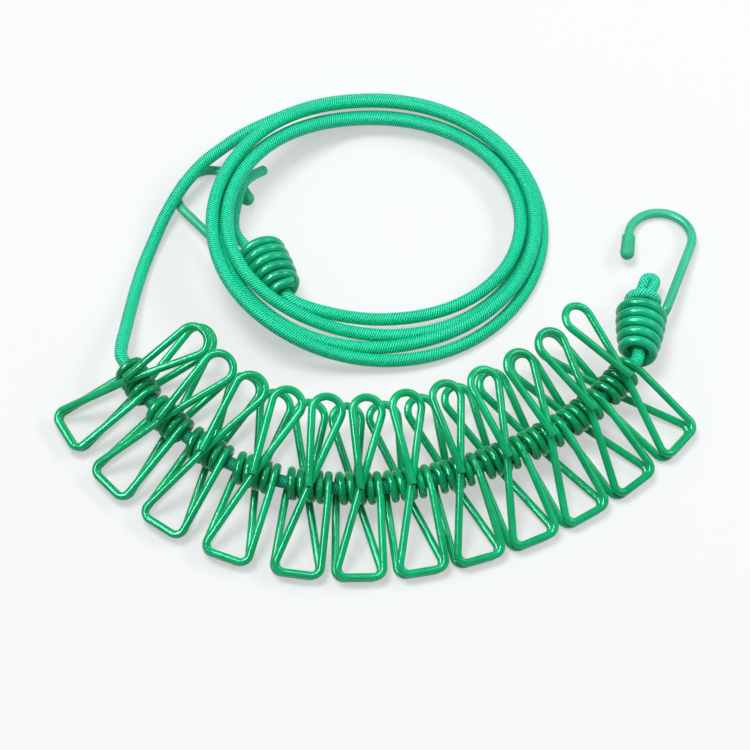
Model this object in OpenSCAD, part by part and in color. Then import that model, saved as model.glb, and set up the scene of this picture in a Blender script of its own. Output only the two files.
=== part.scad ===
// Elastic travel clothesline: a braided stretch cord with a row of wire spring clips strung on it
// and a wire hook wound on to each end. It lies on a table with the spare cord coiled behind the row.

/* [Wire] */
// Diameter of the coated wire of the clips
wire_d = 2.5; // [2.2:0.1:2.8]
// Diameter of the coated wire of the hooks
hook_wire_d = 3.1; // [2.8:0.1:3.3]
// Gap between the turns of a spring or a spiral
turn_gap = 0.42; // [0.42:0.01:0.8]

/* [Cord] */
// Diameter of the braided cord
cord_d = 4.2; // [3.5:0.1:4.6]
// Gap between the cord and the turns around it
cord_gap = 0.45; // [0.35:0.05:1]
// Diameter of the cord where a knot draws it thin
knot_d = 3.4; // [3:0.1:3.6]

/* [Clip] */
// Turns of the clip's spring
spring_turns = 4.5; // [3.5:1:4.5]
// From the cord to the middle of the jaw's bar
jaw_len = 28; // [22:0.5:34]
// Width of the jaw at its bar, between wire centres
jaw_w = 15.2; // [14:0.2:18]
// Bend of the jaw's corners
jaw_corner_r = 2.8; // [2.6:0.1:4.5]
// From the cord to the far end of the handle loop
handle_len = 27.4; // [22:0.2:32]
// Radius of the handle loop at the wire's middle
handle_r = 4.6; // [4:0.1:5.2]
// How far the handle loop sits to the side of the clip's middle
handle_shift = 3.2; // [2:0.1:3.6]
// Height of the handle loop's middle above the cord's middle
handle_rise = 8; // [7.5:0.1:9]
// How much the loop's free side lies above its other side
handle_twist = 2.6; // [1:0.1:3]
// How far the cut end reaches past the cord's middle
cut_past = 1.5; // [0:0.1:4]
// Gap between wires that lie on each other
wire_gap = 0.3; // [0.25:0.05:0.6]
// How far the clips lean on their jaws
clip_lean = 18; // [14:1:19]

/* [Row] */
// Heading of the cord at each clip, from the tail to the hook
clip_yaw = [-59, -46, -34, -21, -8, 1, 10, 17, 24, 31, 39, 49];
// Gap between neighbouring clips
row_gap = 0.4; // [0.4:0.05:1.5]

/* [Hooks] */
// Turns of the hook's spiral
spiral_turns = 5.2; // [4.2:0.5:5.7]
// Mean radius of the spiral at its mouth
mouth_r = 6.9; // [6.5:0.1:8]
// From the mouth to the middle of the hook's bend
shank_len = 31.5; // [26:0.5:36]
// Radius of the hook's bend at the wire's middle
bend_r = 10.4; // [9:0.2:13]
// How far the middle of the bend sits to the side of the spiral's axis
bend_shift = 4; // [2:0.1:5]
// Straight wire after the bend
tip_len = 8; // [6:0.5:11]
// Diameter of the cap on the hook's tip
cap_d = 4.7; // [4.2:0.1:5.2]
// Length of the cap on the hook's tip
cap_len = 9.5; // [7:0.5:12]
// Depth of the wire inside the cap
cap_bore = 7; // [5:0.5:8]
// Heading of the spiral at the row's end
right_yaw = 83; // [76:1:90]
// Heading of the spiral at the coil's end
left_yaw = 117; // [108:1:120]
// From the end of the coil to the small end of the spiral there
left_step = [-22.2, 7];

/* [Coil] */
// Radius of the coil where the tail joins it
coil_r = 55.5; // [54:0.5:64]
// Mean drop of the radius with each loop
coil_pitch = 3.4; // [3.4:0.05:4]
// How much more the radius drops at the front, and less at the back
coil_spread = 0.62; // [0.6:0.02:0.7]
// How much less the radius drops at the sides, and more at the front and the back
coil_side = 0.94; // [0.9:0.02:0.98]
// How far every second loop rises on to its neighbours
coil_rise = 4.1; // [4.1:0.1:5]
// Loops of the coil
coil_turns = 3.61; // [3.61:1:3.61]
// Depth of the coil as a share of its width
coil_depth = 0.94; // [0.94:0.01:1]
// Middle of the coil
coil_mid = [0.5, 52.5];
// How far the loops rise where they lie over the hook
coil_lift = 11; // [11:0.1:13]

/* [Hidden] */
clips = len(clip_yaw);

wire_green = [0.05, 0.52, 0.29];
cord_green = [0.09, 0.72, 0.49];
cap_green = [0.1, 0.6, 0.36];

wire_r = wire_d / 2;
hook_r = hook_wire_d / 2;
cord_r = cord_d / 2;
knot_r = knot_d / 2;
wire_sides = 8;
cord_sides = 8;
wound_sides = 6;
curl_rings = 8;
loop_steps = 8;
bend_steps = 8;
loop_rings = 24;
curl_flat = cos(180 / curl_rings);
anchor_clip = 5;
anchor_at = [-5.3, -46];
lay = [-1.78, -1.79, 0];

// Clip sizes in the clip's own frame: x along the cord, y towards the handles, z up
spring_r = (cord_r + cord_gap + wire_r) / curl_flat;
spring_pitch = wire_d + turn_gap;
spring_half = spring_turns * spring_pitch / 2;
spring_out = spring_half + wire_r;
jaw_grip = (wire_d + wire_gap) / 2;
cross_bend_r = 12;
cross_x = 1;
cross_z = spring_r + wire_d + wire_gap + 0.1;
cut_x = 0.9;
cut_z = cross_z + wire_d + wire_gap;
stub_bend_r = 2;
stub_run = 1;
lead_angle = atan(spring_pitch / (2 * PI * spring_r));
stub_way = [sin(lead_angle), -cos(lead_angle), 0];
stub_end = [spring_half, 0, spring_r] + wire_d * stub_way;

// Row sizes
lean_tip = jaw_len * sin(clip_lean) + jaw_grip * cos(clip_lean) + wire_r;
lean_cut = cut_past * sin(clip_lean) + cut_z * cos(clip_lean) + wire_r;
row_z = max(lean_tip, lean_cut);
loop_reach = (handle_len - handle_r) * cos(clip_lean);
row_lead = spring_out + 1;

// Hook sizes in the hook's own frame: x along the spiral to its mouth, y to the left, z up
small_r = (cord_r + cord_gap + hook_r) / curl_flat;
spiral_pitch = hook_wire_d + turn_gap;
spiral_len = spiral_turns * spiral_pitch;
hook_reach = spiral_len + shank_len + bend_r;
hook_pitch = asin((row_z - hook_r) / hook_reach);
mouth_end_angle = 205;
shank_bend_r = 2.6;
shank_start = [spiral_len + hook_r / 4, -mouth_r - hook_r / 2, hook_r / 3];
bend_mid = [spiral_len + shank_len, -bend_shift];
bend_from = touch(shank_start, bend_mid, bend_r, 1) - 360;
cap_fit = 0.05;
ring_r = 4.4;
ring_gap = 0.3;
ring_x = spiral_len + hook_r + knot_r + ring_gap;
ring_from = -40;
ring_to = 220;
bight_gap = 0.5;
bight_r = (knot_d + bight_gap) / 2;
bight_x = ring_x + 1.5 * knot_d;
bight_run = 3;
bight_at = [bight_x, -bight_r, 0.5];
hook_lead = 3.8;

// Coil sizes
coil_start = 118;
front_turn = (coil_start + 90) / 360;
coil_z = cord_r + 0.1;
coil_slip = 0.45;
tail_points = [
    [-81.2, 5.5, 10], [-80.4, 12, 8.2], [-79.4, 20, 6], [-78, 29, 4], [-76, 38.5, 2.8], [-72.8, 48.5, 3],
    [-69, 57.5, 5], [-64, 66, 7.4], [-57.6, 74.3, 8.7], [-50.3, 81, 8.9], [-41.8, 87.3, 9]
];

function pad(i) = i < 9 ? str("0", i + 1) : str(i + 1);
function clip_name(i, piece) = str("clip_", pad(i), "_", piece);
function unit(v) = v / norm(v);
function heading(a) = [cos(a), sin(a), 0];

// Row: neighbouring springs follow each other like one thread, and the handles clear each other
function step_between(i) =
    let (half = (clip_yaw[i + 1] - clip_yaw[i]) / 2)
    let (thread_fit = (spring_turns + 0.5) * spring_pitch + row_gap - turn_gap)
    let (spring_fit = thread_fit + 2 * (spring_r + wire_r) * tan(half))
    let (handle_fit = 2 * handle_r + wire_d + row_gap + 2 * loop_reach * sin(half))
    max(spring_fit, handle_fit) * heading((clip_yaw[i] + clip_yaw[i + 1]) / 2);
function clip_at(i) =
    i == anchor_clip ? [anchor_at.x, anchor_at.y, row_z]
    : i > anchor_clip ? clip_at(i - 1) + step_between(i - 1)
    : clip_at(i + 1) - step_between(i);

// Paths: arcs between two directions from one centre, and lines with rounded corners
function swing(a, b, t) =
    let (turn = acos(min(1, max(-1, unit(a) * unit(b)))))
    turn < 0.01 ? a : (sin((1 - t) * turn) * a + sin(t * turn) * b) / sin(turn);
function corner(before, at, after, r, steps) =
    let (to_before = unit(before - at), to_after = unit(after - at))
    let (half = acos(to_before * to_after) / 2)
    let (mid = at + unit(to_before + to_after) * r / sin(half))
    let (first = at + to_before * r / tan(half) - mid, last = at + to_after * r / tan(half) - mid)
    [for (k = [0 : steps]) mid + swing(first, last, k / steps)];
function rounded(points, radii, steps) = [
    points[0],
    for (i = [1 : len(points) - 2])
        each corner(points[i - 1], points[i], points[i + 1], radii[i - 1], steps[i - 1]),
    points[len(points) - 1]
];

// Angle at which a line from a point meets a circle: anticlockwise round it for side 1, clockwise for -1
function touch(from, mid, r, side) =
    let (way = [mid.x - from.x, mid.y - from.y])
    atan2(way.y, way.x) + 180 + side * acos(r / norm(way));

// Frames along a path, carried from ring to ring without twist
function tangents(path, first, last) = let (n = len(path)) [
    for (i = [0 : n - 1])
        i == 0 ? unit(is_undef(first) ? path[1] - path[0] : first)
        : i == n - 1 ? unit(is_undef(last) ? path[n - 1] - path[n - 2] : last)
        : unit(unit(path[i + 1] - path[i]) + unit(path[i] - path[i - 1]))
];
function side_of(t) = unit(abs(t.z) < 0.9 ? cross(t, [0, 0, 1]) : cross(t, [1, 0, 0]));
function sides_along(ts) = [
    for (
        i = 0, s = side_of(ts[0]);
        i < len(ts);
        i = i + 1, s = i < len(ts) ? unit(s - (s * ts[i]) * ts[i]) : s
    ) s
];

// Round tube along a path, with one radius or a radius for each point, and flat square ends
module tube(path, r, sides, first = undef, last = undef) {
    n = len(path);
    ts = tangents(path, first, last);
    ss = sides_along(ts);
    rings = [for (i = [0 : n - 1], k = [0 : sides - 1])
        let (a = 360 * k / sides)
        path[i] + (is_list(r) ? r[i] : r) * (cos(a) * ss[i] + sin(a) * cross(ts[i], ss[i]))];
    walls = [for (i = [0 : n - 2], k = [0 : sides - 1])
        let (a = i * sides + k, b = i * sides + (k + 1) % sides)
        each [[a, a + sides, b], [b, a + sides, b + sides]]];
    back = [for (k = [1 : sides - 2]) [0, k, k + 1]];
    front = [for (k = [1 : sides - 2]) [(n - 1) * sides, (n - 1) * sides + k + 1, (n - 1) * sides + k]];
    polyhedron(rings, concat(walls, back, front), convexity = 10);
}

// Least gap of a wound tube to itself, between points more than most of a turn apart
function self_gap(path, d, apart) = min([
    for (i = [0 : len(path) - 1 - apart], j = [i + apart : len(path) - 1]) norm(path[i] - path[j])
]) - d;

// Clip: one wire, a lever above and its twin turned half round below, with the spring between
handle_mid = [handle_shift, handle_len - handle_r];
loop_from = touch([cross_x, 0], handle_mid, handle_r, 1) - 360;
loop_to = touch([cut_x, -cut_past], handle_mid, handle_r, -1);
function loop_point(a) = [
    handle_mid.x + handle_r * cos(a),
    handle_mid.y + handle_r * sin(a),
    handle_rise - handle_twist / 2 * cos(a)
];
function lever_path() = concat(
    rounded(
        [
            stub_end,
            stub_end + stub_run * stub_way,
            [jaw_w / 2, -jaw_len, jaw_grip],
            [-jaw_w / 2, -jaw_len, jaw_grip],
            [cross_x, 0, cross_z],
            loop_point(loop_from)
        ],
        [stub_bend_r, jaw_corner_r, jaw_corner_r, cross_bend_r],
        [1, 3, 3, 1]
    ),
    [for (k = [1 : loop_steps]) loop_point(loop_from + (loop_to - loop_from) * k / loop_steps)],
    [[cut_x, -cut_past, cut_z]]
);
function spring_path() =
    let (count = round(spring_turns * curl_rings))
    concat(
        [[-stub_end.x, stub_end.y, -stub_end.z]],
        [for (k = [0 : count])
            let (a = 360 * k / curl_rings)
            [spring_half * (2 * k / count - 1), spring_r * sin(a), -spring_r * cos(a)]],
        [stub_end]
    );
module on_row(i) {
    translate(clip_at(i)) rotate([0, 0, clip_yaw[i]]) rotate([clip_lean, 0, 0]) children();
}
module clip_upper(i) {
    color(wire_green) on_row(i) tube(lever_path(), wire_r, wire_sides, first = stub_way);
}
module clip_lower(i) {
    color(wire_green) on_row(i) rotate([0, 180, 0]) tube(lever_path(), wire_r, wire_sides, first = stub_way);
}
module clip_spring(i) {
    color(wire_green) on_row(i)
        tube(spring_path(), wire_r, wound_sides, first = [stub_way.x, -stub_way.y, 0], last = stub_way);
}

// Hook: a spiral that tightens on to the cord, a shank from its mouth and a round bend
function spiral_point(t) =
    let (a = mouth_end_angle + 360 * spiral_turns * (1 - t))
    let (r = small_r + (mouth_r - small_r) * (1 - (1 - t) * (1 - t)))
    [spiral_len * t, r * cos(a), r * sin(a)];
function spiral_path() =
    let (count = round(spiral_turns * curl_rings))
    let (points = [for (k = [0 : count]) spiral_point(k / count)])
    concat([points[0] - hook_wire_d * unit(points[1] - points[0])], points);
function bend_point(a) = [bend_mid.x + bend_r * cos(a), bend_mid.y + bend_r * sin(a), 0];
function bend_path() = [
    for (k = [0 : bend_steps]) bend_point(bend_from + (90 - bend_from) * k / bend_steps)
];
function shank_path() = rounded([spiral_point(1), shank_start, bend_point(bend_from)], [shank_bend_r], [3]);
tip_end = bend_point(90) - [tip_len, 0, 0];
function hook_path() = concat(
    spiral_path(),
    [for (k = [1 : len(shank_path()) - 2]) shank_path()[k]],
    bend_path(),
    [tip_end]
);

// Where the hooks stand: on the ends of the row and of the coil, sloping down to the table
row_start = clip_at(0) - row_lead * heading(clip_yaw[0]);
row_end = clip_at(clips - 1) + row_lead * heading(clip_yaw[clips - 1]);
right_at = row_end + hook_lead * heading((clip_yaw[clips - 1] + right_yaw) / 2);
left_at = [coil_point(coil_turns).x + left_step.x, coil_point(coil_turns).y + left_step.y, row_z];
module at_right_hook() {
    translate(right_at) rotate([0, 0, right_yaw]) rotate([0, hook_pitch, 0]) children();
}
module at_left_hook() {
    translate(left_at) rotate([0, 0, left_yaw]) rotate([0, hook_pitch, 0]) rotate([180, 0, 0]) children();
}
module hook_wire() {
    color(wire_green) tube(hook_path(), hook_r, wound_sides, last = [-1, 0, 0]);
}
module tip_cap() {
    bore_r = hook_r + cap_fit;
    outer_r = cap_d / 2;
    color(cap_green) translate(tip_end + [cap_bore, 0, 0]) rotate([0, -90, 0]) rotate_extrude($fn = 32)
        difference() {
            union() {
                square([outer_r, cap_len - outer_r]);
                translate([0, cap_len - outer_r]) intersection() {
                    circle(outer_r);
                    square(outer_r);
                }
            }
            square([bore_r, cap_bore + cap_fit]);
        }
}

// Knot at the right hook's mouth: the cord wraps once round, then stands out as a folded loop
function ring_point(a, x, r) = [x, r * cos(a), r * sin(a)];
function axis_path() = [[-cord_r * 0.7, 0, 0], [spiral_len * 0.5, 0, 0], [spiral_len - cord_r, 0, 0]];
function knot_path() = concat(
    [ring_point(ring_from - 45, spiral_len, knot_r)],
    [ring_point(ring_from - 22, ring_x - knot_r * 0.6, ring_r * 0.88)],
    [for (k = [0 : 10]) ring_point(ring_from + (ring_to - ring_from) * k / 10, ring_x, ring_r)],
    [ring_point(ring_to + 27, ring_x + knot_d * 0.58, ring_r)],
    [ring_point(ring_to + 55, ring_x + knot_d * 1.08, ring_r * 0.95)],
    [ring_point(ring_to + 88, ring_x + knot_d * 1.5, ring_r * 0.7)],
    [for (k = [0 : 6])
        bight_at + [bight_run + bight_r * sin(30 * k), bight_r * cos(30 * k), 0]],
    [bight_at + [0, -bight_r, 0]]
);
// Loose end at the left hook: out of the mouth, over the hook's tip and down to the table
loose_over = [tip_end.x + cap_bore - cap_len / 2, -tip_end.y, cap_d / 2 + knot_r + wire_gap + 0.1];
loose_path = [
    [spiral_len + hook_r, knot_r, 0],
    loose_over + [-14.5, 9.6, -4],
    loose_over + [-9.4, 7.9, -3.3],
    loose_over + [-3.6, 3.4, -1],
    loose_over,
    loose_over + [3.6, -4.8, -1.9],
    loose_over + [7, -10.2, -5.7]
];
// A point of a hook's own frame, moved to where the hook stands
function tilt(p, pitch) = [p.x * cos(pitch) + p.z * sin(pitch), p.y, p.z * cos(pitch) - p.x * sin(pitch)];
function turn(p, yaw) = [p.x * cos(yaw) - p.y * sin(yaw), p.x * sin(yaw) + p.y * cos(yaw), p.z];
function at_hook(p, at, yaw) = at + turn(tilt(p, hook_pitch), yaw);
function all_at(path, at, yaw) = [for (p = path) at_hook(p, at, yaw)];
function thinned(before, after) = [for (i = [1 : before + after]) i <= before ? cord_r : knot_r];

// Cord: straight through each clip, along the tail, round the coil and into both hooks
function ease(from, to, x) = let (u = min(1, max(0, (x - from) / (to - from)))) u * u * (3 - 2 * u);
function loop_rise(t) =
    ease(front_turn - 1 / 8, front_turn + 1 / 8, t) - ease(front_turn + 7 / 8, front_turn + 9 / 8, t)
    + ease(front_turn + 15 / 8, front_turn + 17 / 8, t);
function coil_point(t) =
    let (a = coil_start - 360 * t, drop = coil_pitch - coil_spread * sin(a) - coil_side * cos(2 * a))
    let (r = coil_r - drop * t)
    let (lift = coil_lift * ease(0, coil_r - 3 * coil_pitch, -r * cos(a)))
    [
        coil_mid.x + r * cos(a),
        coil_mid.y + coil_depth * r * sin(a) - coil_slip * lift,
        coil_z + lift + coil_rise * loop_rise(t)
    ];
function coil_heading(t) = unit(coil_point(t + 0.01) - coil_point(t - 0.01));
function coil_path() =
    let (count = round(coil_turns * loop_rings))
    [for (k = [0 : count]) coil_point(coil_turns * k / count)];
function row_path() = concat(
    [row_start],
    [for (i = [0 : clips - 1], side = [-1, 1])
        clip_at(i) + side * (spring_half - wire_r) * heading(clip_yaw[i])],
    [row_end]
);
row_first = heading(clip_yaw[0]);
row_last = heading(clip_yaw[clips - 1]);
module line_row() {
    color(cord_green) tube(row_path(), cord_r, cord_sides, first = row_first, last = row_last);
}
module line_tail() {
    path = concat([row_start, row_start - 2 * row_first], tail_points, [coil_point(0)]);
    color(cord_green) tube(path, cord_r, cord_sides, first = -row_first, last = coil_heading(0));
}
module line_coil() {
    color(cord_green)
        tube(coil_path(), cord_r, wound_sides, first = coil_heading(0), last = coil_heading(coil_turns));
}
function curve(a, way_a, b, way_b, t) =
    let (reach = norm(b - a), u = 1 - t)
    let (leave = a + 0.25 * reach * way_a, arrive = b - 0.22 * reach * way_b)
    u * u * u * a + 3 * u * u * t * leave + 3 * u * t * t * arrive + t * t * t * b;
module line_end_left() {
    start = coil_point(coil_turns);
    axis = all_at(axis_path(), left_at, left_yaw);
    in_way = unit(axis[1] - axis[0]);
    lead = [for (k = [0 : 5]) curve(start, coil_heading(coil_turns), axis[0], in_way, k / 6)];
    loose = all_at(loose_path, left_at, left_yaw);
    color(cord_green)
        tube(
            concat(lead, axis, loose), thinned(len(lead) + len(axis), len(loose)), cord_sides,
            first = coil_heading(coil_turns)
        );
}
module line_end_right() {
    axis = all_at(axis_path(), right_at, right_yaw);
    knot = all_at(knot_path(), right_at, right_yaw);
    color(cord_green)
        tube(concat([row_end], axis, knot), thinned(1 + len(axis), len(knot)), cord_sides, first = row_last);
}
module hook_left() { at_left_hook() hook_wire(); }
module hook_left_cap() { at_left_hook() tip_cap(); }
module hook_right() { at_right_hook() hook_wire(); }
module hook_right_cap() { at_right_hook() tip_cap(); }

echo(spring_gap = self_gap(spring_path(), wire_d, curl_rings - 2));
echo(spiral_gap = self_gap(spiral_path(), hook_wire_d, curl_rings - 2));
echo(coil_gap = self_gap(coil_path(), cord_d, loop_rings - 4));
echo(knot_gap = self_gap(knot_path(), knot_d, 8));

// The middle of the wire pieces sits over the origin
module placed() {
    translate(lay) children();
}

placed() line_row();
placed() line_tail();
placed() line_coil();
placed() line_end_left();
placed() line_end_right();
placed() hook_left();
placed() hook_left_cap();
placed() hook_right();
placed() hook_right_cap();
for (i = [0 : clips - 1]) {
    placed() clip_upper(i);
    placed() clip_spring(i);
    placed() clip_lower(i);
}
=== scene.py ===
import math
import bpy
import numpy as np
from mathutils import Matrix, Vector


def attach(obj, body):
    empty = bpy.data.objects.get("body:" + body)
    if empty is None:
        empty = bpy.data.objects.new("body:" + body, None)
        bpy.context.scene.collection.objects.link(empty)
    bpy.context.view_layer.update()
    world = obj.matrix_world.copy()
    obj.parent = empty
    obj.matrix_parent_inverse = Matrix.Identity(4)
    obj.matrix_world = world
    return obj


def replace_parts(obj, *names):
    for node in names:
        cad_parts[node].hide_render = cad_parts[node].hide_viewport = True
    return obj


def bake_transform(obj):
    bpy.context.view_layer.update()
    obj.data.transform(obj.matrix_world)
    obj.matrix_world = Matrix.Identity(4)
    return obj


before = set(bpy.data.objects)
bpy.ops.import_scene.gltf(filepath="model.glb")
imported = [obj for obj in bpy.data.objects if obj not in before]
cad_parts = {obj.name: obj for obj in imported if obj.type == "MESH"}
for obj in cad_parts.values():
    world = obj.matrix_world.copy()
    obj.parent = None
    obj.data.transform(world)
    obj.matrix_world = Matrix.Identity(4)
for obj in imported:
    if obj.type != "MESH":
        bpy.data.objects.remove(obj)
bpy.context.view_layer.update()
print("frame loaded:", len(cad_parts), "nodes")

mm = 0.001
lay = np.array([-1.78, -1.79, 0.0])  # moves the whole line, in mm, so that it lies over the origin


# camera, at the photograph's angle
view = dict(elevation=62.0, distance=0.9677, lens=144.0, sensor=36.0, clipNear=0.05, clipFar=60.0)


def makeCamera():
    tilt = math.radians(view["elevation"])
    back = Vector((0, -math.cos(tilt), math.sin(tilt)))
    data = bpy.data.cameras.new("viewCamera")
    data.lens = view["lens"]
    data.sensor_width = view["sensor"]
    data.sensor_height = view["sensor"]
    data.clip_start = view["clipNear"]
    data.clip_end = view["clipFar"]
    camera = bpy.data.objects.new("viewCamera", data)
    camera.location = Vector(lay * mm) + back * view["distance"]
    camera.rotation_euler = (-back).to_track_quat("-Z", "Y").to_euler()
    bpy.context.collection.objects.link(camera)
    bpy.context.scene.camera = camera
    print("camera set")


# lines in space, in mm and degrees
def cosd(angle):
    return math.cos(math.radians(angle))


def sind(angle):
    return math.sin(math.radians(angle))


def unit(vector):
    return vector / np.linalg.norm(vector)


def heading(angle):
    return np.array([cosd(angle), sind(angle), 0.0])


def turnX(points, angle):
    c, s = cosd(angle), sind(angle)
    return points @ np.array([[1, 0, 0], [0, c, -s], [0, s, c]]).T


def turnY(points, angle):
    c, s = cosd(angle), sind(angle)
    return points @ np.array([[c, 0, s], [0, 1, 0], [-s, 0, c]]).T


def turnZ(points, angle):
    c, s = cosd(angle), sind(angle)
    return points @ np.array([[c, -s, 0], [s, c, 0], [0, 0, 1]]).T


def ease(low, high, x):  # 0 up to low, 1 from high on, smooth between
    u = min(1.0, max(0.0, (x - low) / (high - low)))
    return u * u * (3 - 2 * u)


def runAlong(points):  # how far along its line each point lies
    return np.concatenate([[0], np.cumsum(np.linalg.norm(np.diff(points, axis=0), axis=1))])


def cornerArc(before, at, after, radius, steps):  # the round corner of a bent wire
    toBefore, toAfter = unit(before - at), unit(after - at)
    half = math.acos(float(toBefore @ toAfter)) / 2
    mid = at + unit(toBefore + toAfter) * radius / math.sin(half)
    first = at + toBefore * radius / math.tan(half) - mid
    last = at + toAfter * radius / math.tan(half) - mid
    turn = math.pi - 2 * half
    arc = []
    for k in range(steps + 1):
        t = k / steps
        arc.append(mid + (math.sin((1 - t) * turn) * first + math.sin(t * turn) * last) / math.sin(turn))
    return arc


def roundedLine(points, radii, steps):
    points = [np.array(p, float) for p in points]
    out = [points[0]]
    for i in range(1, len(points) - 1):
        out += cornerArc(points[i - 1], points[i], points[i + 1], radii[i - 1], steps[i - 1])
    return np.array(out + [points[-1]])


def evenLine(points, step):
    run = runAlong(points)
    count = max(2, int(round(run[-1] / step)) + 1)
    at = np.linspace(0, run[-1], count)
    return np.stack([np.interp(at, run, points[:, i]) for i in range(3)], 1)


def smoothLine(points, step, samples=12):  # a curve through all points, sampled at an even step
    p = np.array(points, float)
    p = np.vstack([2 * p[0] - p[1], p, 2 * p[-1] - p[-2]])
    out = []
    for a, b, c, d in zip(p, p[1:], p[2:], p[3:]):
        ta = np.sqrt(np.linalg.norm(b - a))
        tb = ta + np.sqrt(np.linalg.norm(c - b))
        tc = tb + np.sqrt(np.linalg.norm(d - c))
        for t in np.linspace(ta, tb, samples, endpoint=False):
            ab = a + (b - a) * t / ta
            bc = b + (c - b) * (t - ta) / (tb - ta)
            cd = c + (d - c) * (t - tb) / (tc - tb)
            abc = ab + (bc - ab) * t / tb
            bcd = bc + (cd - bc) * (t - ta) / (tc - ta)
            out.append(abc + (bcd - abc) * (t - ta) / (tb - ta))
    return evenLine(np.array(out + [p[-2]]), step)


def bezier(a, leave, arrive, b, t):
    u = 1 - t
    return u ** 3 * a + 3 * u * u * t * leave + 3 * u * t * t * arrive + t ** 3 * b


def touch(start, mid, radius, side):  # where a line from a point meets a circle, as an angle
    way = np.array(mid[:2], float) - np.array(start[:2], float)
    facing = math.degrees(math.atan2(way[1], way[0])) + 180
    return facing + side * math.degrees(math.acos(radius / np.linalg.norm(way)))


# shader nodes
mixSockets = dict(share=0, a=6, b=7, out=2)  # a Mix node's colour sockets, which are found by number


def paint(red, green, blue):  # a colour as a picture shows it, 0 to 255, as linear light
    shares = [c / 255 for c in (red, green, blue)]
    return tuple(c / 12.92 if c <= 0.04045 else ((c + 0.055) / 1.055) ** 2.4 for c in shares) + (1,)


class Sock:  # an output of a node, which sums in Python can use
    def __init__(self, finish, node, out=0):
        self.finish = finish
        self.node = node
        self.out = node.outputs[out] if len(node.outputs) else None

    def pick(self, out):
        return Sock(self.finish, self.node, out)

    def calc(self, how, *values):
        return self.finish.add("ShaderNodeMath", {"operation": how}, dict(enumerate(values)))

    def __add__(self, other):
        return self.calc("ADD", self, other)

    def __radd__(self, other):
        return self.calc("ADD", other, self)

    def __sub__(self, other):
        return self.calc("SUBTRACT", self, other)

    def __rsub__(self, other):
        return self.calc("SUBTRACT", other, self)

    def __mul__(self, other):
        return self.calc("MULTIPLY", self, other)

    def __rmul__(self, other):
        return self.calc("MULTIPLY", other, self)

    def __truediv__(self, other):
        return self.calc("DIVIDE", self, other)

    def __rtruediv__(self, other):
        return self.calc("DIVIDE", other, self)

    def __pow__(self, other):
        return self.calc("POWER", self, other)

    def __rpow__(self, other):
        return self.calc("POWER", other, self)

    def __abs__(self):
        return self.calc("ABSOLUTE", self)

    def sine(self):
        return self.calc("SINE", self)


class Finish:  # a material, or the world, and its nodes
    def __init__(self, name, world=None):
        self.material = world or bpy.data.materials.new(name)
        self.material.use_nodes = True
        self.tree = self.material.node_tree
        self.tree.nodes.clear()

    def add(self, kind, settings=None, sockets=None):  # settings first, then values or links
        node = self.tree.nodes.new(kind)
        for key, value in (settings or {}).items():
            setattr(node, key, value)
        for key, value in (sockets or {}).items():
            if isinstance(value, Sock):
                self.tree.links.new(value.out, node.inputs[key])
            else:
                node.inputs[key].default_value = value
        return Sock(self, node)

    def mixColour(self, share, a, b):
        sockets = {mixSockets["share"]: share, mixSockets["a"]: a, mixSockets["b"]: b}
        return self.add("ShaderNodeMix", {"data_type": "RGBA"}, sockets).pick(mixSockets["out"])

    def between(self, value, low, high):  # 0 up to low, 1 from high on, smooth between
        sockets = {"Value": value, "From Min": low, "From Max": high}
        return self.add("ShaderNodeMapRange", {"interpolation_type": "SMOOTHSTEP"}, sockets)

    def run(self):  # along the wire or cord in mm, and round it from 0 to 1
        split = self.add("ShaderNodeSeparateXYZ", {}, {0: self.add("ShaderNodeUVMap", {"uv_map": "run"})})
        return split.pick("X"), split.pick("Y")

    def place(self):
        return self.add("ShaderNodeTexCoord").pick("Object")

    def noise(self, where, scale, detail, rough=0.55):
        sockets = {"Vector": where, "Scale": scale, "Detail": detail, "Roughness": rough}
        return self.add("ShaderNodeTexNoise", {}, sockets)

    def tubeNoise(self, along, around, girth, pull=1.0, **grain):  # closes on itself round the tube
        turn = around * (2 * math.pi)
        sockets = {0: along * pull, 1: turn.sine() * girth, 2: (turn + math.pi / 2).sine() * girth}
        return self.noise(self.add("ShaderNodeCombineXYZ", {}, sockets), **grain)

    def bump(self, height, depth, strength, under=None):
        sockets = {"Strength": strength, "Distance": depth, "Height": height}
        if under is not None:
            sockets["Normal"] = under
        return self.add("ShaderNodeBump", {}, sockets)

    def close(self, sockets):
        surface = self.add("ShaderNodeBsdfPrincipled", {}, sockets)
        self.add("ShaderNodeOutputMaterial", {}, {0: surface})
        return self.material


# finishes: a grain's girth, pull, scale, detail and rough shape its noise, and a band is where it fades in
glint = paint(150, 255, 222)  # the green coats and the braid tint what they mirror
coatSkin = dict(clouds=dict(scale=55.0, detail=2.0), toneBand=(0.32, 0.68),
                streaks=dict(girth=1.6, pull=0.06, scale=2.2, detail=3.0), streakBand=(0.3, 0.7),
                streakDull=0.04,
                specks=dict(girth=1.2, scale=5.5, detail=2.0), speckBand=(0.56, 0.74),
                speckLeast=0.15, speckMore=0.35,
                scuffs=dict(girth=1.2, scale=1.6, detail=4.0, rough=0.65), scuffBand=(0.55, 0.8),
                scuffDull=0.12,
                dents=dict(girth=1.2, scale=0.55, detail=2.0), dentDepth=0.00022,
                pores=dict(girth=1.2, scale=7.0, detail=2.0), poreDepth=0.00003, ior=1.5)
steel = dict(dark=paint(30, 22, 18), bright=paint(112, 100, 92), tooth=dict(scale=2600.0, detail=3.0),
             toothBand=(0.35, 0.65), metal=0.6, gloss=0.36, toothDull=0.25, depth=0.0001, strength=0.6)


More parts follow.
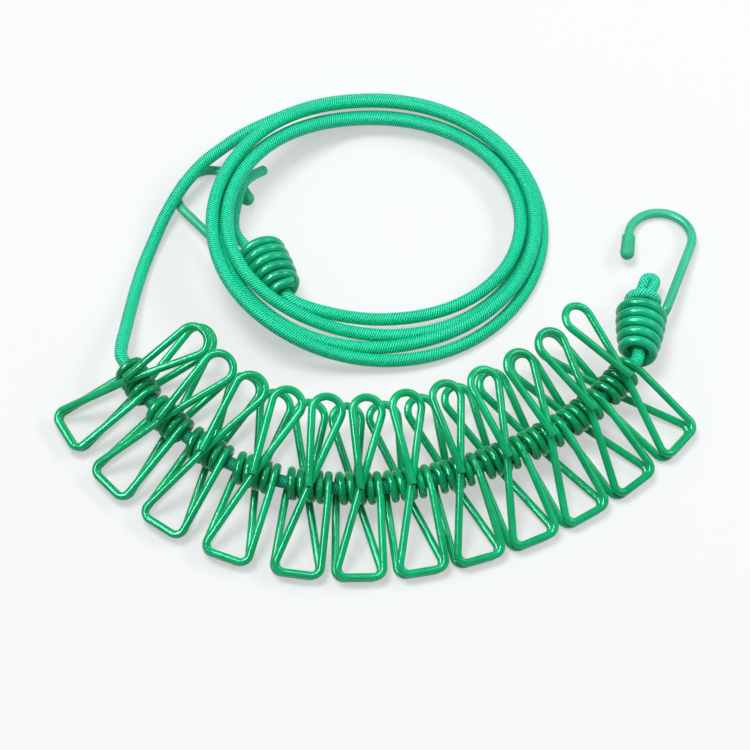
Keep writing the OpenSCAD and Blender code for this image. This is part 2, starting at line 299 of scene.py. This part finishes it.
def coatedWire(name, look):
    f = Finish(name)
    along, around = f.run()
    clouds = f.noise(f.place(), **coatSkin["clouds"])
    streaks = f.tubeNoise(along, around, **coatSkin["streaks"])
    specks = f.tubeNoise(along, around, **coatSkin["specks"])
    scuffs = f.tubeNoise(along, around, **coatSkin["scuffs"])
    dents = f.tubeNoise(along, around, **coatSkin["dents"])
    pores = f.tubeNoise(along, around, **coatSkin["pores"])
    deep, bright, gloss = look["deep"], look["bright"], look["gloss"]
    if "shankBand" in look:  # the wound turns are darker and glossier than the shank
        shank = f.between(along, *look["shankBand"])
        deep = f.mixColour(shank, look["woundDeep"], deep)
        bright = f.mixColour(shank, look["woundBright"], bright)
        gloss = look["woundGloss"] + shank * (gloss - look["woundGloss"])
    colour = f.mixColour(f.between((clouds + streaks) / 2, *coatSkin["toneBand"]), deep, bright)
    speckShare = coatSkin["speckLeast"] + coatSkin["speckMore"] * look["marks"]
    colour = f.mixColour(f.between(specks, *coatSkin["speckBand"]) * speckShare, colour, look["pale"])
    scuffDull = f.between(scuffs, *coatSkin["scuffBand"]) * coatSkin["scuffDull"]
    streakDull = f.between(streaks, *coatSkin["streakBand"]) * coatSkin["streakDull"]
    soft = f.bump(dents, coatSkin["dentDepth"], look["marks"])
    fine = f.bump(pores, coatSkin["poreDepth"], look["grain"], soft)
    return f.close({"Base Color": colour, "Roughness": gloss + scuffDull + streakDull, "Normal": fine,
                    "IOR": coatSkin["ior"], "Specular IOR Level": look["shine"], "Specular Tint": glint})


def cutSteel():
    f = Finish("cutSteel")
    tooth = f.noise(f.place(), **steel["tooth"])
    colour = f.mixColour(f.between(tooth, *steel["toothBand"]), steel["dark"], steel["bright"])
    return f.close({"Base Color": colour, "Metallic": steel["metal"],
                    "Roughness": steel["gloss"] + tooth * steel["toothDull"],
                    "Normal": f.bump(tooth, steel["depth"], steel["strength"])})


# tubes: every wire, cap and cord is one
tubeEnds = dict(  # rings past the last full one: share of its radius, mm outwards, whether it is bare steel
    flat=[],
    cut=[(0.97, 0.06, False), (0.9, 0.1, False), (0.63, 0.1, False),
         (0.6, 0.12, True), (0.56, 0.4, True), (0.2, 0.45, True)],
    melted=[(0.97, 0.1, False), (0.86, 0.3, False), (0.66, 0.46, False), (0.36, 0.56, False)])
skinMap = dict(high=0.97, margin=0.03, startX=0.03, endX=0.07, endY=0.985, endR=0.01)  # shares of the map


def tubeRings(at, sizes, sides, start, end, run):
    legs = [unit(b - a) for a, b in zip(at, at[1:])]
    ways = [legs[0]] + [unit(a + b) for a, b in zip(legs, legs[1:])] + [legs[-1]]
    steep = abs(ways[0][2]) > 0.9
    side = unit(np.cross(ways[0], (1, 0, 0) if steep else (0, 0, 1)))
    sideAt = []
    for way in ways:  # the rings don't twist against each other
        side = unit(side - (side @ way) * way)
        sideAt.append(side)

    def ring(i, share=1.0, push=0.0, isCore=False):
        across = np.cross(ways[i], sideAt[i])
        turns = [360 * k / sides for k in range(sides)]
        mid, r = at[i] + push * ways[i], share * sizes[i]
        return [mid + r * (cosd(a) * sideAt[i] + sind(a) * across) for a in turns], run[i] + push, isCore

    first = [ring(0, share, -push, isCore) for share, push, isCore in tubeEnds[start]]
    last = [ring(-1, share, push, isCore) for share, push, isCore in tubeEnds[end]]
    return first[::-1] + [ring(i) for i in range(len(at))] + last


def sweepTube(name, path, radius, sides, materials, start="flat", end="flat", runFrom=0.0):
    at = np.array(path, float)
    sizes = np.broadcast_to(np.array(radius, float), (len(at),))
    run = runAlong(at)
    rings = tubeRings(at, sizes, sides, start, end, run + runFrom)
    points = [tuple((p + lay) * mm) for ringPoints, u, isCore in rings for p in ringPoints]
    strips = max(1, round(math.sqrt(run[-1] / (2 * math.pi * sizes.mean()))))  # the skin's map is stacked
    each = math.ceil((len(rings) - 1) / strips)
    tall = (1 - 2 * skinMap["margin"]) / strips * skinMap["high"]
    faces, runs, bakes, kinds = [], [], [], []
    for j in range(len(rings) - 1):
        u0, u1 = rings[j][1], rings[j + 1][1]
        x0, x1 = j % each / each, (j % each + 1) / each
        y0 = (j // each + skinMap["margin"]) / strips * skinMap["high"]
        isCore = rings[j][2] and rings[j + 1][2]
        for k in range(sides):
            a, b = j * sides + k, j * sides + (k + 1) % sides
            v0, v1 = k / sides, (k + 1) / sides
            faces.append((a, b, b + sides, a + sides))
            runs += [(u0, v0), (u0, v1), (u1, v1), (u1, v0)]
            low, high = y0 + tall * v0, y0 + tall * v1
            bakes += [(x0, low), (x0, high), (x1, high), (x1, low)]
            kinds.append(int(isCore))
    firstRing = range(sides)
    lastRing = range(len(points) - sides, len(points))
    ends = ((firstRing[::-1], rings[0], skinMap["startX"]), (lastRing, rings[-1], skinMap["endX"]))
    for loop, (ringPoints, u, isCore), x in ends:
        faces.append(tuple(loop))
        for k in loop:
            a = 360 * k / sides
            runs.append((u, k % sides / sides))
            bakes.append((x + skinMap["endR"] * cosd(a), skinMap["endY"] + skinMap["endR"] * sind(a)))
        kinds.append(int(isCore))

    mesh = bpy.data.meshes.new(name)
    mesh.from_pydata(points, [], faces)
    for layer, values in (("run", runs), ("OFBake", bakes)):
        mesh.uv_layers.new(name=layer).data.foreach_set("uv", np.array(values, np.float32).ravel())
    mesh.polygons.foreach_set("use_smooth", [True] * (len(faces) - 2) + [False] * 2)
    for material in materials:
        mesh.materials.append(material)
    mesh.polygons.foreach_set("material_index", kinds)
    sharp = mesh.attributes.new("sharp_edge", "BOOLEAN", "EDGE")
    rims = [set(firstRing), set(lastRing)]
    for edge in mesh.edges:
        sharp.data[edge.index].value = any(rim.issuperset(edge.vertices) for rim in rims)
    mesh.update()
    piece = bpy.data.objects.new(name, mesh)
    bpy.context.collection.objects.link(piece)
    return piece


# the cord: a braid over rubber, with sizes in mm as in the solids
cord = dict(diameter=4.2, gap=0.45, thin=3.4, sides=20, step=1.4, lumps=0.012,
            lumpWaves=((0.21, 0), (0.083, 1.3)))  # the thickness varies a little along it
cordR, thinR = cord["diameter"] / 2, cord["thin"] / 2
flatShare = cosd(180 / 8)  # the solids' wires have eight sides, and this is how near their flats come
# grooveShade is painted shade for the hollows between the yarns; shine is painted highlight flecks on the
# rib tops
braid = dict(grooveShade=paint(0, 56, 32), strand=paint(6, 250, 188), shine=paint(90, 255, 220),
             lead=4.8, carriers=6, threads=8,  # mm for one turn, yarns that wind one way, threads in a yarn
             drift=dict(girth=0.5, pull=0.12, scale=1.0, detail=1.0), driftShare=0.5, passBand=(-0.12, 0.12),
             crown=0.6, dip=0.55, threadShare=0.07, weaveDepth=0.00016, weaveStrength=0.85,
             fuzz=dict(girth=2.1, scale=3.2, detail=3.0, rough=0.7), fuzzDepth=0.00003, fuzzStrength=0.4,
             nap=dict(girth=1.6, pull=1.4, scale=2.0, detail=2.0, rough=0.7), napShare=0.9,
             thereShare=0.75, strandBand=(0.2, 0.72),  # the yarns that run one way show more
             # painted highlight: where the bright shine flecks sit on the rib tops, and how strongly
             highlightNap=(0.46, 0.64), highlightRibs=(0.5, 0.85), highlightShare=0.6,
             clouds=dict(girth=0.8, pull=0.08, scale=1.0, detail=2.0), cloudBand=(0.35, 0.7),
             cloudShare=0.08, gloss=0.3, fuzzDull=0.2, level=0.45,
             clipShadeFrom=(14, 20), clipShadeTo=(192, 204), clipShadeShare=0.5)  # painted shade under the clips, in mm along
# the cord ends: the same painted groove shade and painted highlight flecks, in lighter colours
drawnBraid = dict(braid, grooveShade=paint(0, 84, 54), strand=paint(26, 255, 204), shine=paint(150, 255, 234))


def braidedCord(name, look):  # two sets of flat yarns that wind against each other and pass over and under
    f = Finish(name)
    along, around = f.run()
    drift = f.tubeNoise(along, around, **look["drift"]) * look["driftShare"]
    there = (along / look["lead"] + around) * look["carriers"] + drift
    back = (along / look["lead"] - around) * look["carriers"] + drift
    waveThere, waveBack = (there * math.pi).sine(), (back * math.pi).sine()
    over = f.between(waveThere * waveBack, *look["passBand"])
    ribThere, ribBack = abs(waveThere) ** look["crown"], abs(waveBack) ** look["crown"]
    threadsThere = (there * (look["threads"] * math.pi)).sine() * look["threadShare"]
    threadsBack = (back * (look["threads"] * math.pi)).sine() * look["threadShare"]
    dip = look["dip"]
    top = ribThere * (1 - dip + dip * ribBack) + threadsThere
    low = ribBack * (1 - dip + dip * ribThere) + threadsBack
    height = over * top + (1 - over) * low
    fuzz = f.tubeNoise(along, around, **look["fuzz"])
    nap = f.tubeNoise(along, around, **look["nap"])
    ribs = abs(waveThere) * look["thereShare"] + abs(waveBack) * (1 - look["thereShare"])
    # painted shade: the colour goes dark in the grooves between the yarns and bright on the rib tops
    tone = f.between(ribs + (nap - 0.5) * look["napShare"], *look["strandBand"])
    colour = f.mixColour(tone, look["grooveShade"], look["strand"])
    # painted highlight: bright flecks mixed into the colour on the rib tops
    shine = f.between(nap, *look["highlightNap"]) * f.between(ribs, *look["highlightRibs"]) * look["highlightShare"]
    colour = f.mixColour(shine, colour, look["shine"])
    clouds = f.between(f.tubeNoise(along, around, **look["clouds"]), *look["cloudBand"])
    colour = f.mixColour(clouds * look["cloudShare"], colour, look["grooveShade"])
    # painted shade: the cord is mixed darker where it runs under the clips
    paintedClipShade = f.between(along, *look["clipShadeFrom"]) - f.between(along, *look["clipShadeTo"])
    colour = f.mixColour(paintedClipShade * look["clipShadeShare"], colour, look["grooveShade"])
    weave = f.bump(height, look["weaveDepth"], look["weaveStrength"])
    return f.close({"Base Color": colour, "Roughness": look["gloss"] + fuzz * look["fuzzDull"],
                    "Normal": f.bump(fuzz, look["fuzzDepth"], look["fuzzStrength"], weave),
                    "Specular IOR Level": look["level"], "Specular Tint": glint})


# the clips: an upper lever, a spring round the cord and a lower lever, in a curved row
clip = dict(wire=2.5, turnGap=0.42, turns=4.5, jawLen=28, jawWide=15.2, jawCorner=2.8, handleLen=27.4,
            handleR=4.6, handleShift=3.2, handleRise=8, handleTwist=2.6, cutPast=1.5, wireGap=0.3, lean=18,
            crossBend=12, crossX=1, crossLift=0.1, cutX=0.9, stubBend=2, stubRun=1, sides=16,
            ringsPerTurn=28, cornerRings=(4, 9, 9, 8), loopRings=24)
row = dict(yaw=[-59, -46, -34, -21, -8, 1, 10, 17, 24, 31, 39, 49], gap=0.4, anchorClip=5,
           anchorAt=(-5.3, -46), endRun=1)
clipCoat = dict(deep=paint(0, 158, 92), bright=paint(6, 202, 130), pale=paint(60, 222, 166), gloss=0.12,
                shine=0.8, marks=0.35, grain=0.35)
springCoat = dict(deep=paint(0, 132, 72), bright=paint(2, 186, 114), pale=paint(70, 222, 164), gloss=0.14,
                  shine=0.85, marks=1.0, grain=0.6)

wireR = clip["wire"] / 2
springR = (cordR + cord["gap"] + wireR) / flatShare
springPitch = clip["wire"] + clip["turnGap"]
springHalf = clip["turns"] * springPitch / 2
jawGrip = (clip["wire"] + clip["wireGap"]) / 2
crossZ = springR + clip["wire"] + clip["wireGap"] + clip["crossLift"]
cutZ = crossZ + clip["wire"] + clip["wireGap"]
leadAngle = math.degrees(math.atan(springPitch / (2 * math.pi * springR)))
stubWay = np.array([sind(leadAngle), -cosd(leadAngle), 0])
stubEnd = np.array([springHalf, 0, springR]) + clip["wire"] * stubWay
halfTurn = np.array([-1, 1, -1])  # makes a lower lever of an upper one
rowZ = max(clip["jawLen"] * sind(clip["lean"]) + jawGrip * cosd(clip["lean"]) + wireR,
           clip["cutPast"] * sind(clip["lean"]) + cutZ * cosd(clip["lean"]) + wireR)
loopReach = (clip["handleLen"] - clip["handleR"]) * cosd(clip["lean"])


def stepBetween(i):  # the springs run on like one thread and the handle loops just clear each other
    yaw = row["yaw"]
    half = (yaw[i + 1] - yaw[i]) / 2
    threadFit = (clip["turns"] + 0.5) * springPitch + row["gap"] - clip["turnGap"]
    springFit = threadFit + 2 * (springR + wireR) * math.tan(math.radians(half))
    handleFit = 2 * clip["handleR"] + clip["wire"] + row["gap"] + 2 * loopReach * sind(half)
    return max(springFit, handleFit) * heading((yaw[i] + yaw[i + 1]) / 2)


def placeClips():
    at = {row["anchorClip"]: np.array([*row["anchorAt"], rowZ])}
    for i in range(row["anchorClip"], len(row["yaw"]) - 1):
        at[i + 1] = at[i] + stepBetween(i)
    for i in range(row["anchorClip"] - 1, -1, -1):
        at[i] = at[i + 1] - stepBetween(i)
    return [at[i] for i in range(len(row["yaw"]))]


clipAt = placeClips()
rowFirst, rowLast = heading(row["yaw"][0]), heading(row["yaw"][-1])
rowStart = clipAt[0] - (springHalf + wireR + row["endRun"]) * rowFirst
rowEnd = clipAt[-1] + (springHalf + wireR + row["endRun"]) * rowLast


def atClip(points, i):  # from a clip's own frame to where it lies
    return turnZ(turnX(np.array(points, float), clip["lean"]), row["yaw"][i]) + clipAt[i]


def leverPath():  # from the spring round the jaw, back over the spring and round the handle to the cut end
    c = clip
    mid = np.array([c["handleShift"], c["handleLen"] - c["handleR"]])
    low = touch((c["crossX"], 0), mid, c["handleR"], 1) - 360
    high = touch((c["cutX"], -c["cutPast"]), mid, c["handleR"], -1)

    def onLoop(a):
        return (mid[0] + c["handleR"] * cosd(a), mid[1] + c["handleR"] * sind(a),
                c["handleRise"] - c["handleTwist"] / 2 * cosd(a))

    corners = [stubEnd, stubEnd + c["stubRun"] * stubWay, (c["jawWide"] / 2, -c["jawLen"], jawGrip),
               (-c["jawWide"] / 2, -c["jawLen"], jawGrip), (c["crossX"], 0, crossZ), onLoop(low)]
    radii = [c["stubBend"], c["jawCorner"], c["jawCorner"], c["crossBend"]]
    front = roundedLine(corners, radii, c["cornerRings"])
    loop = [onLoop(low + (high - low) * k / c["loopRings"]) for k in range(1, c["loopRings"] + 1)]
    return np.vstack([front, loop, [(c["cutX"], -c["cutPast"], cutZ)]])


def springPath():
    count = round(clip["turns"] * clip["ringsPerTurn"])
    points = [stubEnd * halfTurn]
    for k in range(count + 1):
        a = 360 * clip["turns"] * k / count
        points.append((springHalf * (2 * k / count - 1), springR * sind(a), -springR * cosd(a)))
    return np.array(points + [stubEnd])


def makeClips(finish, springFinish, core):
    lever, turns = leverPath(), springPath()
    for i in range(len(row["yaw"])):
        name, body = f"clip{i + 1:02d}", f"clip_{i + 1:02d}"
        upper = sweepTube(name + "Upper", atClip(lever, i), wireR, clip["sides"], [finish, core], end="cut")
        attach(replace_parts(upper, body + "_upper"), body + "_lever")
        turned = atClip(lever * halfTurn, i)
        lower = sweepTube(name + "Lower", turned, wireR, clip["sides"], [finish, core], end="cut")
        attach(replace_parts(lower, body + "_lower"), body)
        wound = sweepTube(name + "Spring", atClip(turns, i), wireR, clip["sides"], [springFinish])
        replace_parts(wound, body + "_spring")
        ends = [(p + lay) * mm for p in atClip([(-springHalf, 0, 0), (springHalf, 0, 0)], i)]
        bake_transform(wound)
    print("clips:", len(row["yaw"]))


# the coil: loops that spiral inwards, and lie over the left hook on their left side
coil = dict(radius=55.5, pitch=3.4, turns=3.61, depth=0.94, mid=(0.5, 52.5), start=118, clear=0.1,
            spread=0.62, side=0.94,  # the loops part more at the front and at both sides
            rise=4.1, climbs=3, climbHalf=1 / 8,  # a climb takes a quarter turn, at the front
            lift=11, liftTurns=3, slip=0.45,  # where they lie over the hook they also slip forward
            points=130, nudge=0.01, leadOut=0.25, leadIn=0.22, leadSteps=8)


def coilPoint(t):
    a = coil["start"] - 360 * t
    r = coil["radius"] - (coil["pitch"] - coil["spread"] * sind(a) - coil["side"] * cosd(2 * a)) * t
    lift = coil["lift"] * ease(0, coil["radius"] - coil["liftTurns"] * coil["pitch"], -r * cosd(a))
    rise = 0
    for k in range(coil["climbs"]):  # up on to its neighbours at one pass of the front, down at the next
        front = (coil["start"] + 90) / 360 + k
        rise += (-1) ** k * ease(front - coil["climbHalf"], front + coil["climbHalf"], t)
    return np.array([coil["mid"][0] + r * cosd(a),
                     coil["mid"][1] + coil["depth"] * r * sind(a) - coil["slip"] * lift,
                     cordR + coil["clear"] + lift + coil["rise"] * rise])


coilEnd = coilPoint(coil["turns"])
coilWay = unit(coilPoint(coil["turns"] + coil["nudge"]) - coilPoint(coil["turns"] - coil["nudge"]))


# the hooks: a spiral that grips the cord, a shank, a round bend and a dipped cap
hook = dict(wire=3.1, turns=5.2, mouth=6.9, mouthAngle=205, shankLen=31.5, shankStep=(1 / 4, -1 / 2, 1 / 3),
            shankBend=2.6, bend=10.4, bendShift=4, bendTo=90, tipLen=8, rightYaw=83, leftYaw=117, lead=3.8,
            leftStep=(-22.2, 7), sides=18, ringsPerTurn=30, shankRings=8, bendRings=30,
            cordBefore=0.7, cordIn=(0.2, 0.5), endIn=(0.42, 0.5))  # in cord radii, and shares of the spiral
hookCoat = dict(deep=paint(46, 184, 136), bright=paint(84, 220, 172), pale=paint(124, 234, 196), gloss=0.3,
                shine=0.75, marks=0.3, grain=0.9, shankBand=(194, 210),  # mm along the wire
                woundDeep=paint(6, 160, 112), woundBright=paint(36, 214, 160), woundGloss=0.15)
cap = dict(length=9.5, width=4.7, depth=7, sides=28,  # its outline: mm along, and share of the full radius
           skirt=[(0, 0.7), (0.02, 0.83), (0.22, 0.92), (0.7, 0.955), (1.6, 0.93), (3.2, 0.94), (5, 0.97),
                  (6.4, 0.98)],
           bead=[(-0.25, 0.975), (-0.12, 1), (0.12, 1), (0.25, 0.98)],
           dome=0.99, domeAngles=(14, 24, 34, 44, 54, 64, 74, 82, 87))
capCoat = dict(deep=paint(46, 180, 130), bright=paint(80, 214, 164), pale=paint(120, 230, 190), gloss=0.5,
               shine=0.5, marks=0.8, grain=1.0)

hookR = hook["wire"] / 2
smallR = (cordR + cord["gap"] + hookR) / flatShare
spiralLen = hook["turns"] * (hook["wire"] + clip["turnGap"])
hookPitch = math.degrees(math.asin((rowZ - hookR) / (spiralLen + hook["shankLen"] + hook["bend"])))
shankStart = np.array([spiralLen, -hook["mouth"], 0]) + hookR * np.array(hook["shankStep"])
bendMid = np.array([spiralLen + hook["shankLen"], -hook["bendShift"], 0])
bendFrom = touch(shankStart, bendMid, hook["bend"], 1) - 360
tipEnd = bendMid + np.array([-hook["tipLen"], hook["bend"], 0])
rightAt = rowEnd + hook["lead"] * heading((row["yaw"][-1] + hook["rightYaw"]) / 2)
leftAt = np.array([coilEnd[0] + hook["leftStep"][0], coilEnd[1] + hook["leftStep"][1], rowZ])


def atHook(points, side):  # from a hook's own frame to where it lies
    at, yaw = (rightAt, hook["rightYaw"]) if side == "right" else (leftAt, hook["leftYaw"])
    return turnZ(turnY(np.array(points, float), hookPitch), yaw) + at


def spiralPoint(t):
    a = hook["mouthAngle"] + 360 * hook["turns"] * (1 - t)
    r = smallR + (hook["mouth"] - smallR) * (1 - (1 - t) ** 2)
    return np.array([spiralLen * t, r * cosd(a), r * sind(a)])


def bendPoint(a):
    return bendMid + hook["bend"] * heading(a)


def hookPath():
    count = round(hook["turns"] * hook["ringsPerTurn"])
    turns = [spiralPoint(k / count) for k in range(count + 1)]
    stub = [turns[0] - hook["wire"] * unit(turns[1] - turns[0])]
    corners = [spiralPoint(1), shankStart, bendPoint(bendFrom)]
    shank = roundedLine(corners, [hook["shankBend"]], [hook["shankRings"]])
    sweep = (hook["bendTo"] - bendFrom) / hook["bendRings"]
    bend = [bendPoint(bendFrom + sweep * k) for k in range(hook["bendRings"] + 1)]
    return np.array(stub + turns + list(shank[1:-1]) + bend + [tipEnd])


def capPath():  # from the mouth to the round nose, with its radius
    full = cap["width"] / 2
    nose = cap["length"] - full
    shape = cap["skirt"] + [(nose + x, r) for x, r in cap["bead"]]
    shape += [(nose + cap["dome"] * full * sind(a), cap["dome"] * cosd(a)) for a in cap["domeAngles"]]
    mouth = tipEnd + np.array([cap["depth"], 0, 0])
    return np.array([mouth - np.array([x, 0, 0]) for x, r in shape]), [r * full for x, r in shape]


def makeHooks(finish, capFinish, core):
    shape, sizes = capPath()
    for side, body, flip in (("left", "line", -1), ("right", "hook_right", 1)):
        over = np.array([1, flip, flip])
        path = atHook(hookPath() * over, side)
        wire = sweepTube(side + "Hook", path, hookR, hook["sides"], [finish, core], start="cut")
        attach(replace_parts(wire, f"hook_{side}"), body)
        nose = sweepTube(side + "HookCap", atHook(shape * over, side), sizes, cap["sides"], [capFinish])
        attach(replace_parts(nose, f"hook_{side}_cap"), body)
    print("hooks: 2")


# the cord's route, with its knot at the right hook and its loose end at the left one
tailPoints = [(-81.2, 5.5, 10), (-80.4, 12, 8.2), (-79.4, 20, 6), (-78, 29, 4), (-76, 38.5, 2.8),
              (-72.8, 48.5, 3), (-69, 57.5, 5), (-64, 66, 7.4), (-57.6, 74.3, 8.7), (-50.3, 81, 8.9),
              (-41.8, 87.3, 9)]
tailLead = 2  # mm that the tail runs on straight behind the first clip
knot = dict(ring=4.4, ringGap=0.3, ringFrom=-40, ringTo=220, ringSteps=10,
            leaveAxis=-45, meetRing=(-22, -0.3, 0.88),  # degrees, cord widths along, share of the ring
            leaveRing=[(27, 0.58, 1), (55, 1.08, 0.95), (80, 1.4, 0.42)],
            bightGap=0.15, bightOut=1.5, bightRun=3, bightRise=0.5, bightTurn=30,
            tuck=[(-0.6, -0.35, -0.6), (-1.4, -0.3, -1.6)],  # the end's way back, with y in bight radii
            thinning=(0.35, 0.6), sides=20, step=0.6)
loose = dict(clear=0.1, steps=[(-14.5, 9.6, -4), (-9.4, 7.9, -3.3), (-3.6, 3.4, -1), (0, 0, 0),
                               (3.6, -4.8, -1.9), (7, -10.2, -5.7)])

ringX = spiralLen + hookR + thinR + knot["ringGap"]
bightR = (cord["thin"] + knot["bightGap"]) / 2
bightAt = np.array([ringX + knot["bightOut"] * cord["thin"], -bightR, knot["bightRise"]])
axisIn = [(-hook["cordBefore"] * cordR, 0, 0)] + [(spiralLen * share, 0, 0) for share in hook["cordIn"]]
axisOut = [(spiralLen * share, 0, 0) for share in hook["endIn"]] + [(spiralLen - cordR, 0, 0)]


def cordRoute():  # from the right spiral through the clips, the tail and the coil into the left spiral
    through = [clipAt[i] + side * (springHalf - wireR) * heading(row["yaw"][i])
               for i in range(len(clipAt) - 1, -1, -1) for side in (1, -1)]
    loops = [coilPoint(coil["turns"] * k / coil["points"]) for k in range(coil["points"] + 1)]
    leftIn = atHook(axisIn, "left")
    reach = np.linalg.norm(leftIn[0] - coilEnd)
    leave = coilEnd + coil["leadOut"] * reach * coilWay
    arrive = leftIn[0] - coil["leadIn"] * reach * unit(leftIn[1] - leftIn[0])
    steps = coil["leadSteps"]
    lead = [bezier(coilEnd, leave, arrive, leftIn[0], k / steps) for k in range(1, steps)]
    points = [*atHook(axisIn[::-1], "right"), rowEnd, *through, rowStart, rowStart - tailLead * rowFirst,
              *np.array(tailPoints, float), *loops, *lead, *leftIn]
    return smoothLine(points, cord["step"])


def knotRoute():  # once round the right spiral's mouth, then out and back as a folded loop
    def onRing(a, x, r):
        return (x, r * cosd(a), r * sind(a))

    low, high, ring, thin = knot["ringFrom"], knot["ringTo"], knot["ring"], cord["thin"]
    turn, along, share = knot["meetRing"]
    points = [*axisOut, onRing(low + knot["leaveAxis"], spiralLen, thinR),
              onRing(low + turn, ringX + thin * along, ring * share)]
    step = (high - low) / knot["ringSteps"]
    points += [onRing(low + step * k, ringX, ring) for k in range(knot["ringSteps"] + 1)]
    points += [onRing(high + a, ringX + thin * x, ring * r) for a, x, r in knot["leaveRing"]]
    for a in range(0, 181, knot["bightTurn"]):
        points.append(bightAt + [knot["bightRun"] + bightR * sind(a), bightR * cosd(a), 0])
    points += [bightAt + [x, bightR * y, z] for x, y, z in knot["tuck"]]
    return smoothLine(atHook(points, "right"), knot["step"])


def looseRoute():  # out of the left spiral's mouth, over the hook's tip and down to the table
    overTip = np.array([tipEnd[0] + cap["depth"] - cap["length"] / 2, -tipEnd[1],
                        cap["width"] / 2 + thinR + clip["wireGap"] + loose["clear"]])
    points = [*axisOut, (spiralLen + hookR, thinR, 0)] + [overTip + step for step in loose["steps"]]
    return smoothLine(atHook(points, "left"), knot["step"])


def makeLine(finish, endFinish):
    route = cordRoute()
    run = np.arange(len(route)) * cord["step"]
    lumps = sum(np.sin(run * rate + shift) for rate, shift in cord["lumpWaves"]) / len(cord["lumpWaves"])
    line = sweepTube("stretchCord", route, cordR * (1 + cord["lumps"] * lumps), cord["sides"], [finish])
    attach(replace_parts(line, "line_row", "line_tail", "line_coil"), "line")
    thinFrom, thinTo = [spiralLen * share for share in knot["thinning"]]
    for side, path in (("left", looseRoute()), ("right", knotRoute())):
        run = np.arange(len(path)) * knot["step"]
        size = [cordR + (thinR - cordR) * ease(thinFrom, thinTo, u) for u in run]
        piece = sweepTube(side + "CordEnd", path, size, knot["sides"], [endFinish], end="melted",
                          runFrom=braid["clipShadeTo"][1])
        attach(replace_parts(piece, "line_end_" + side), "line")
    path = (route + lay) * mm


# the studio: a pale table, a soft dome and three lamps that face the origin
studio = dict(floor=paint(250, 251, 252), patch=(0.9, 0.92, 0.94, 1), patches=dict(scale=6.0, detail=2.0),
              patchBand=(0.3, 0.7), patchShare=0.012, bounce=(0.5, 0.5, 0.5, 1), roughness=0.6, lift=0.5,
              halfSide=8.0, sky=(0.985, 0.99, 1, 1), dome=0.28)
lamps = [dict(name="overheadLamp", at=(-0.3, 0.25, 1.5), size=(0.6, 0.6), power=13.8),
         dict(name="sideLamp", at=(1.0, 0.35, 0.95), size=(1.0, 0.3), power=6.0),
         dict(name="stripLamp", at=(-0.85, -0.05, 1.15), size=(1.4, 0.3), power=36.0, glossOnly=True)]


def makeLamp(name, at, size, power, glossOnly=False):
    data = bpy.data.lights.new(name, "AREA")
    data.shape = "RECTANGLE"
    data.size, data.size_y = size
    data.energy = power
    light = bpy.data.objects.new(name, data)
    light.location = at
    light.visible_diffuse = not glossOnly
    light.rotation_euler = (-Vector(at)).to_track_quat("-Z", "Y").to_euler()
    bpy.context.collection.objects.link(light)


def paleTable():  # white where it is seen, and grey for the light it sends back on to the wires
    f = Finish("paleTable")
    rays = f.add("ShaderNodeLightPath")
    seen = rays.pick("Is Camera Ray") + rays.pick("Is Glossy Ray") + rays.pick("Is Transmission Ray")
    patches = f.between(f.noise(f.place(), **studio["patches"]), *studio["patchBand"])
    top = f.mixColour(patches * studio["patchShare"], studio["floor"], studio["patch"])
    colour = f.mixColour(seen, studio["bounce"], top)
    sockets = {"Base Color": colour, "Roughness": studio["roughness"], "Specular IOR Level": 0.0}
    matte = f.add("ShaderNodeBsdfPrincipled", {}, sockets)
    white = f.add("ShaderNodeEmission", {}, {"Color": studio["floor"], "Strength": 1.0})
    surface = f.add("ShaderNodeMixShader", {}, {0: seen * studio["lift"], 1: matte, 2: white})
    f.add("ShaderNodeOutputMaterial", {}, {0: surface})
    return f.material


def makeStudio():
    world = bpy.data.worlds.new("studioDome")
    bpy.context.scene.world = world
    f = Finish("studioDome", world)
    sky = f.add("ShaderNodeBackground", {}, {"Color": studio["sky"], "Strength": studio["dome"]})
    f.add("ShaderNodeOutputWorld", {}, {0: sky})
    mesh = bpy.data.meshes.new("paleTable")
    s = studio["halfSide"]
    mesh.from_pydata([(-s, -s, 0), (s, -s, 0), (s, s, 0), (-s, s, 0)], [], [(0, 1, 2, 3)])
    mesh.materials.append(paleTable())
    floor = bpy.data.objects.new("paleTable", mesh)
    bpy.context.collection.objects.link(floor)
    for lamp in lamps:
        makeLamp(**lamp)
    bpy.context.scene.view_settings.view_transform = "Standard"
    print("studio ready")


makeCamera()
makeLine(braidedCord("braidedCord", braid), braidedCord("drawnCord", drawnBraid))
core = cutSteel()
makeClips(coatedWire("clipCoat", clipCoat), coatedWire("springCoat", springCoat), core)
makeHooks(coatedWire("hookCoat", hookCoat), coatedWire("capCoat", capCoat), core)
makeStudio()
